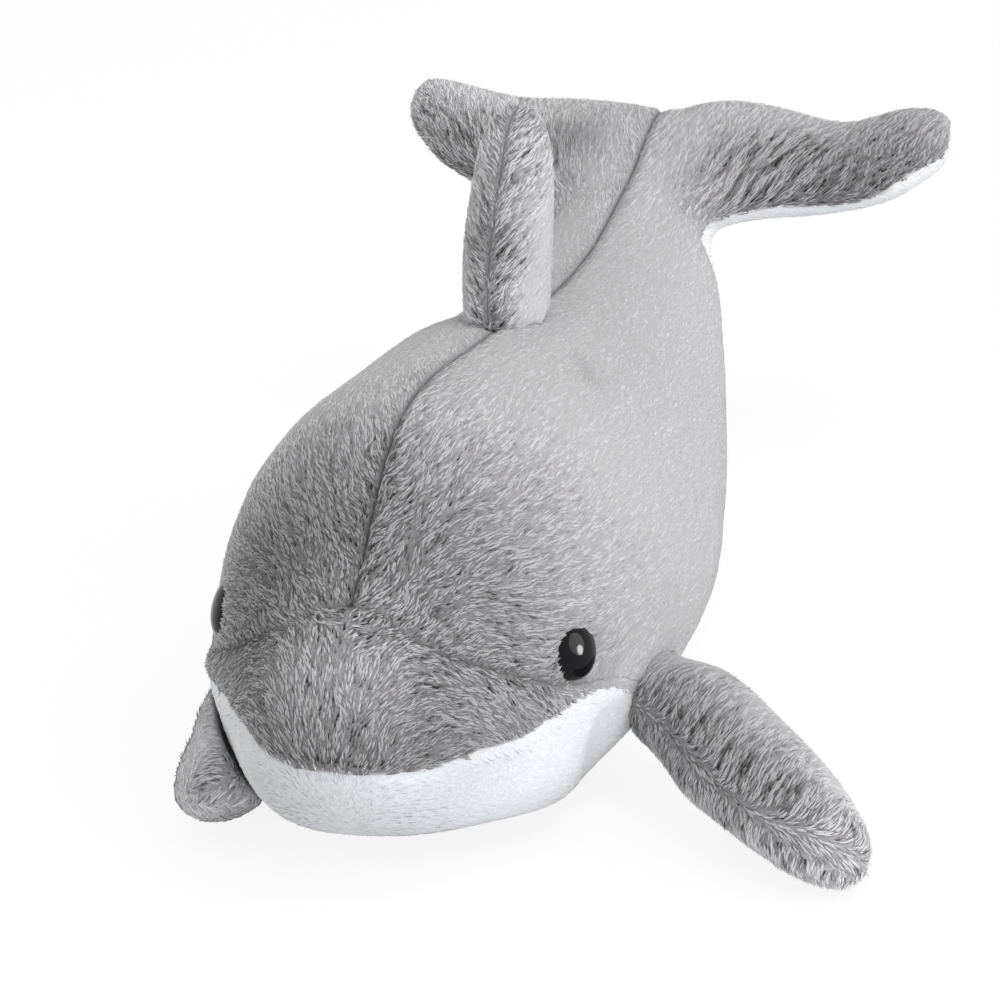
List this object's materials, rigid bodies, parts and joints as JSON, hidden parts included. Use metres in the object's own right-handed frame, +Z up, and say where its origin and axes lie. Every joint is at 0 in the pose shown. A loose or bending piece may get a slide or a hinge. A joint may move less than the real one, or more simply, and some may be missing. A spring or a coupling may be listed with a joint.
{
  "type": "plush dolphin",
  "caption": "Small stuffed plush dolphin lying on its belly, grey long-pile back, white belly and jaw, dorsal fin, flippers, tail flukes and domed black safety eyes.",
  "frame": {"origin": "middle of the flat patch of belly that the dolphin rests on", "axes": "+Z up; the nose points towards -Y; +X is the dolphin's own left side"},
  "size_m": [0.1702, 0.2599, 0.1224],
  "materials": {
    "grey_plush": "long grey pile, brushed, matt",
    "white_plush": "short dense white pile, matt",
    "stuffing": "loose polyester fibre",
    "eye_plastic": "polished black",
    "washer_plastic": "moulded, natural white"
  },
  "bodies": {
    "root": {"back_panel_left": "grey_plush", "back_panel_right": "grey_plush", "snout_panel": "grey_plush", "belly_panel": "white_plush", "body_filling": "stuffing", "dorsal_fin_left": "grey_plush", "dorsal_fin_right": "grey_plush", "dorsal_fin_filling": "stuffing", "flipper_left_upper": "grey_plush", "flipper_left_lower": "grey_plush", "flipper_left_filling": "stuffing", "flipper_right_upper": "grey_plush", "flipper_right_lower": "grey_plush", "flipper_right_filling": "stuffing", "eye_left": "eye_plastic", "eye_right": "eye_plastic", "eye_washer_left": "washer_plastic", "eye_washer_right": "washer_plastic"}
  },
  "joints": []
}
